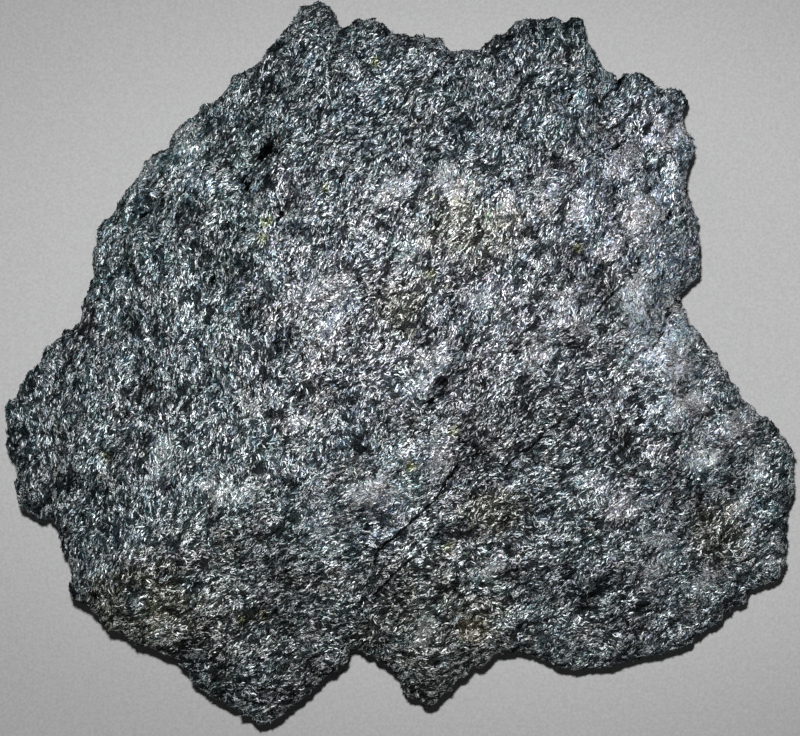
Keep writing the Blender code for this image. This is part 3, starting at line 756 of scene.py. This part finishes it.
def flakes(name, surface, share, count, sizes, gain, material, seed):
    """Thin flakes that lie along the threads, as one piece. The gain scales their lightness."""
    rng = np.random.default_rng(seed)
    places, normals = scattered(surface, share, count, rng)
    gap, crack_angle = crack_gap(places)
    run, side, face, level = flake_axes(places, normals, gap, crack_angle, rng)

    lengths, widths, lifts = sizes
    length = 0.5 * rng.uniform(*lengths, count)[:, None]
    width = 0.5 * rng.uniform(*widths, count)[:, None]
    bend = length * rng.uniform(-FLAKE_BEND, FLAKE_BEND, count)[:, None]
    droop = length * rng.uniform(*FLAKE_DROOP, (count, 2))
    middle = places + (rng.uniform(*lifts, count) + THREAD_HEIGHT * level)[:, None] * normals
    corners = []
    for along, across in FLAKE_OUTLINE:
        tip = 0 if along > 0 else 1
        sunk = max(0.0, abs(along) - FLAKE_SHOULDER) * droop[:, tip:tip + 1]
        sideways = across * width + (along ** 2 - FLAKE_BEND_MIDDLE) * bend
        corners.append(middle + along * length * run + sideways * side - sunk * face)
    corners = np.stack(corners, axis=1)
    corners[:, :, 2] = np.maximum(corners[:, :, 2], 0.0)
    colour = flake_colours(places, level, gap, gain, rng)

    outline = np.array(FLAKE_OUTLINE)
    start = np.arange(count)[:, None] * len(outline)
    triangles = np.concatenate([start + corner for corner in FLAKE_TRIANGLES])
    loops = triangles.ravel()
    cells = math.ceil(math.sqrt(count))
    cell = np.column_stack([np.arange(count) % cells, np.arange(count) // cells])[:, None, :]
    bake_places = ((cell + 0.5 + 0.4 * outline) / cells).reshape(-1, 2)[loops]
    colours = np.repeat(colour, len(outline), axis=0)
    mesh = made_mesh(name, corners.reshape(-1, 3), triangles, colours, bake_places)
    size = np.stack([length / FIBRE_STRETCH, width], axis=2)
    fibres = (rng.random((count, 1, 2)) + outline * size).reshape(-1, 2)[loops]
    mesh.uv_layers.new(name="fibres").uv.foreach_set("vector", fibres.astype(np.float32).ravel())
    return added(mesh, material)


# The bake map of the stone: places and sizes of the top, the underside and the unrolled side
MAP_TOP = (0.01, 0.30)
MAP_UNDER = (0.51, 0.30)
MAP_FACE_SIZE = 0.48
MAP_MARGIN = 0.01
MAP_SIDE_SIZE = (0.96, 0.25)
MAP_FACING = 0.35


def stone_map(vertices, faces):
    """A bake map with the stone's top and underside side by side, and its side unrolled below them."""
    corners = vertices[faces]
    facing = unit(np.cross(corners[:, 1] - corners[:, 0], corners[:, 2] - corners[:, 0]))[:, 2]
    low, size = vertices.min(axis=0), np.ptp(vertices, axis=0)
    flat = (corners[:, :, :2] - low[:2]) / size.max()
    top = flat * MAP_FACE_SIZE + MAP_TOP
    under = flat * MAP_FACE_SIZE + MAP_UNDER
    turn = np.arctan2(corners[:, :, 1], corners[:, :, 0]) / (2.0 * math.pi) + 0.5
    turn = np.where(turn < np.ptp(turn, axis=1)[:, None] - 0.5, turn + 1.0, turn)
    height = (corners[:, :, 2] - low[2]) / size[2]
    side = MAP_MARGIN + np.stack([MAP_SIDE_SIZE[0] * turn, MAP_SIDE_SIZE[1] * height], axis=2)
    kind = np.where(facing > MAP_FACING, 0, np.where(facing < -MAP_FACING, 1, 2))[:, None, None]
    return np.select([kind == 0, kind == 1], [top, under], side).reshape(-1, 2)


def linked(nodes, kind, inputs, **settings):
    """A new shader node with its settings and inputs. An input is a value or another node's output."""
    node = nodes.new(kind)
    for key, value in settings.items():
        setattr(node, key, value)
    for key, value in inputs.items():
        if isinstance(value, bpy.types.NodeSocket):
            node.id_data.links.new(value, node.inputs[key])
        else:
            node.inputs[key].default_value = value
    return node


def new_material(name):
    """An empty material, its nodes and its main shader."""
    material = bpy.data.materials.new(name)
    material.use_nodes = True
    nodes = material.node_tree.nodes
    return material, nodes, nodes["Principled BSDF"]


# Painted shade in thin, curling seams between the folia: scale of their curling pattern, half the width of a
# line, and lightness
CURL_SCALE = 800.0
CURL_WIDTH = 0.026
CURL_LIGHT = 0.15


def curls(nodes, place):
    """From CURL_LIGHT on thin, curling lines to 1 away from them: painted shade in the seams between the
    folia.
    """
    swirl = linked(nodes, "ShaderNodeTexNoise", {
        "Vector": place, "Scale": CURL_SCALE, "Detail": 1.0, "Roughness": 0.5, "Distortion": 0.5,
    })
    gap = linked(nodes, "ShaderNodeMath", {0: swirl.outputs["Fac"], 1: 0.5}, operation="SUBTRACT")
    away = linked(nodes, "ShaderNodeMath", {0: gap.outputs["Value"]}, operation="ABSOLUTE")
    line = linked(nodes, "ShaderNodeMapRange", {
        "Value": away.outputs["Value"], "From Min": 0.25 * CURL_WIDTH, "From Max": CURL_WIDTH,
        "To Min": CURL_LIGHT, "To Max": 1.0,
    })
    return line.outputs["Result"]


def flake_material():
    """Chlorite flakes: the pearly shine of a soft, half metallic sheet, in each flake's colour with its
    painted light and shade.
    """
    material, nodes, shader = new_material("chlorite_flakes")
    tint = linked(nodes, "ShaderNodeAttribute", {}, attribute_name="tint")
    place = linked(nodes, "ShaderNodeAttribute", {}, attribute_name="fibres")
    grain = linked(nodes, "ShaderNodeTexNoise", {
        "Vector": place.outputs["Vector"], "Scale": 5400.0, "Detail": 1.0, "Roughness": 0.6,
        "Distortion": 0.5,
    }, noise_dimensions="2D")
    level = linked(nodes, "ShaderNodeMapRange", {
        "Value": grain.outputs["Fac"], "From Min": 0.40, "From Max": 0.58, "To Min": 0.08, "To Max": 1.70,
    })
    seam_shade = curls(nodes, linked(nodes, "ShaderNodeTexCoord", {}).outputs["Object"])
    both = linked(nodes, "ShaderNodeMath", {0: level.outputs["Result"], 1: seam_shade}, operation="MULTIPLY")
    shaded = linked(nodes, "ShaderNodeVectorMath", {
        0: tint.outputs["Color"], "Scale": both.outputs["Value"],
    }, operation="SCALE")
    rough = linked(nodes, "ShaderNodeMapRange", {
        "Value": grain.outputs["Fac"], "From Min": 0.3, "From Max": 0.7, "To Min": 0.46, "To Max": 0.56,
    })
    links = material.node_tree.links
    links.new(shaded.outputs["Vector"], shader.inputs["Base Color"])
    links.new(rough.outputs["Result"], shader.inputs["Roughness"])
    shader.inputs["Metallic"].default_value = 0.75
    shader.inputs["Specular IOR Level"].default_value = 0.1
    return material


def stone_material():
    """The rock under the flakes: the same minerals, darker and rougher, with a fine scaly bump."""
    material, nodes, shader = new_material("chlorite_schist")
    tint = linked(nodes, "ShaderNodeAttribute", {}, attribute_name="tint")
    place = linked(nodes, "ShaderNodeTexCoord", {})
    cells = linked(nodes, "ShaderNodeTexVoronoi", {
        "Vector": place.outputs["Object"], "Scale": 2600.0, "Randomness": 1.0,
    })
    grain = linked(nodes, "ShaderNodeTexNoise", {
        "Vector": place.outputs["Object"], "Scale": 1800.0, "Detail": 5.0, "Roughness": 0.65,
    })
    level = linked(nodes, "ShaderNodeMapRange", {
        "Value": grain.outputs["Fac"], "From Min": 0.35, "From Max": 0.65, "To Min": 0.005, "To Max": 0.06,
    })
    seam_shade = curls(nodes, place.outputs["Object"])
    both = linked(nodes, "ShaderNodeMath", {0: level.outputs["Result"], 1: seam_shade}, operation="MULTIPLY")
    shaded = linked(nodes, "ShaderNodeVectorMath", {
        0: tint.outputs["Color"], "Scale": both.outputs["Value"],
    }, operation="SCALE")
    bump = linked(nodes, "ShaderNodeBump", {
        "Height": cells.outputs["Distance"], "Strength": 0.5, "Distance": 0.15 * MM,
    })
    links = material.node_tree.links
    links.new(shaded.outputs["Vector"], shader.inputs["Base Color"])
    links.new(bump.outputs["Normal"], shader.inputs["Normal"])
    shader.inputs["Roughness"].default_value = 0.55
    shader.inputs["Metallic"].default_value = 0.25
    shader.inputs["Specular IOR Level"].default_value = 0.1
    return material


def floor_material():
    """A pale, matt board with a faint grain, and a painted pool of light: its colour darkens away from the
    slab.
    """
    material, nodes, shader = new_material("pale_floor")
    place = linked(nodes, "ShaderNodeTexCoord", {})
    grain = linked(nodes, "ShaderNodeTexNoise", {
        "Vector": place.outputs["Object"], "Scale": 2600.0, "Detail": 3.0,
    })
    level = linked(nodes, "ShaderNodeMapRange", {
        "Value": grain.outputs["Fac"], "From Min": 0.3, "From Max": 0.7, "To Min": 0.91, "To Max": 1.09,
    })
    # A painted pool of light: the board's colour darkens away from the slab
    aside = linked(nodes, "ShaderNodeVectorMath", {
        0: place.outputs["Object"], 1: FLOOR_LIT_PLACE,
    }, operation="SUBTRACT")
    squashed = linked(nodes, "ShaderNodeVectorMath", {
        0: aside.outputs["Vector"], 1: FLOOR_LIT_SQUASH,
    }, operation="MULTIPLY")
    gap = linked(nodes, "ShaderNodeVectorMath", {0: squashed.outputs["Vector"]}, operation="LENGTH")
    fade = linked(nodes, "ShaderNodeMapRange", {
        "Value": gap.outputs["Value"], "From Min": FLOOR_LIT_REACH[0], "From Max": FLOOR_LIT_REACH[1],
        "To Min": 1.0, "To Max": FLOOR_SHADE,
    }, interpolation_type="SMOOTHSTEP")
    both = linked(nodes, "ShaderNodeMath", {
        0: level.outputs["Result"], 1: fade.outputs["Result"],
    }, operation="MULTIPLY")
    shaded = linked(nodes, "ShaderNodeVectorMath", {
        0: FLOOR_COLOUR, "Scale": both.outputs["Value"],
    }, operation="SCALE")
    links = material.node_tree.links
    links.new(shaded.outputs["Vector"], shader.inputs["Base Color"])
    shader.inputs["Roughness"].default_value = 0.8
    return material


def make_floor():
    """The board, just below the slab."""
    half = FLOOR_SIZE / 2.0
    mesh = bpy.data.meshes.new("floor")
    corners = [(-half, -half, -FLOOR_DROP), (half, -half, -FLOOR_DROP),
               (half, half, -FLOOR_DROP), (-half, half, -FLOOR_DROP)]
    mesh.from_pydata(corners, [], [(0, 1, 2, 3)])
    mesh.materials.append(floor_material())
    floor = bpy.data.objects.new("floor", mesh)
    bpy.context.scene.collection.objects.link(floor)


def make_light():
    """The flash beside the lens, and a little light from all round."""
    light = bpy.data.lights.new("flash", "AREA")
    light.shape = "DISK"
    light.size = FLASH_SIZE
    light.energy = FLASH_POWER
    flash = bpy.data.objects.new("flash", light)
    flash.location = (*FLASH_OFFSET, RIM_HEIGHT + CAMERA_HEIGHT)
    aim = -flash.location
    flash.rotation_euler = aim.to_track_quat("-Z", "Y").to_euler()
    bpy.context.scene.collection.objects.link(flash)
    world = bpy.data.worlds.new("room")
    world.use_nodes = True
    world.node_tree.nodes["Background"].inputs["Color"].default_value = (1.0, 1.0, 1.0, 1.0)
    world.node_tree.nodes["Background"].inputs["Strength"].default_value = ROOM_LIGHT
    bpy.context.scene.world = world


def make_camera():
    """The camera over the slab, framed as the photograph is."""
    view = bpy.data.cameras.new("camera")
    view.sensor_width = SENSOR
    view.lens = SENSOR * CAMERA_HEIGHT / (IMAGE_SIZE_PX[0] * M_PER_PX)
    view.clip_start = 10.0 * MM
    camera = bpy.data.objects.new("camera", view)
    camera.location = (*plan(*IMAGE_CENTRE_PX), RIM_HEIGHT + CAMERA_HEIGHT)
    bpy.context.scene.collection.objects.link(camera)
    bpy.context.scene.camera = camera


def make_slab():
    """The crumpled stone and all its flakes."""
    vertices, faces = welded_solid("chlorite_slab")
    for _ in range(SPLITS):
        vertices, faces = split(vertices, faces)
    vertices = crumpled(vertices, faces)
    normals = vertex_normals(vertices, faces)
    # The stone's colour holds the same painted light, glint and shade as the flakes'
    area_light, light, glint, cast = rock_look(vertices)
    down = smooth_step((-normals[:, 2] - 0.4) / 0.3) * (vertices[:, 2] < UNDER_LEVEL)
    lift = 1.0 + GLINT_STONE_LIFT * glint + UNDER_STONE_LIFT * down
    colour = (FLAKE_LIGHT * area_light * light * lift)[:, None] * cast ** DEEP_CAST
    mesh = made_mesh("stone", vertices, faces, colour, stone_map(vertices, faces))
    mesh.shade_smooth()
    stone = added(mesh, stone_material())
    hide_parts("chlorite_slab")

    facing = normals[faces].mean(axis=1)[:, 2]
    height = vertices[faces].mean(axis=1)[:, 2]
    top = (facing > TOP_FACING).astype(float)
    under = ((facing < UNDER_FACING) & (height < UNDER_LEVEL)).astype(float)
    side = 1.0 - top - under
    surface = (vertices, faces, normals)
    finish = flake_material()
    for number in range(TOP_PIECES):
        name = f"flakes_top_{number + 1}"
        flakes(name, surface, top, TOP_COUNT, TOP_FLAKES, 1.0, finish, TOP_SEED + number)
    flakes("flakes_side", surface, side, SIDE_COUNT, SIDE_FLAKES, 1.0, finish, SIDE_SEED)
    flakes("flakes_under", surface, under, UNDER_COUNT, UNDER_FLAKES, UNDER_FLAKE_LIGHT, finish, UNDER_SEED)


def main():
    """The whole scene."""
    bpy.context.scene.view_settings.view_transform = "Standard"
    make_camera()
    make_light()
    make_floor()
    make_slab()


main()
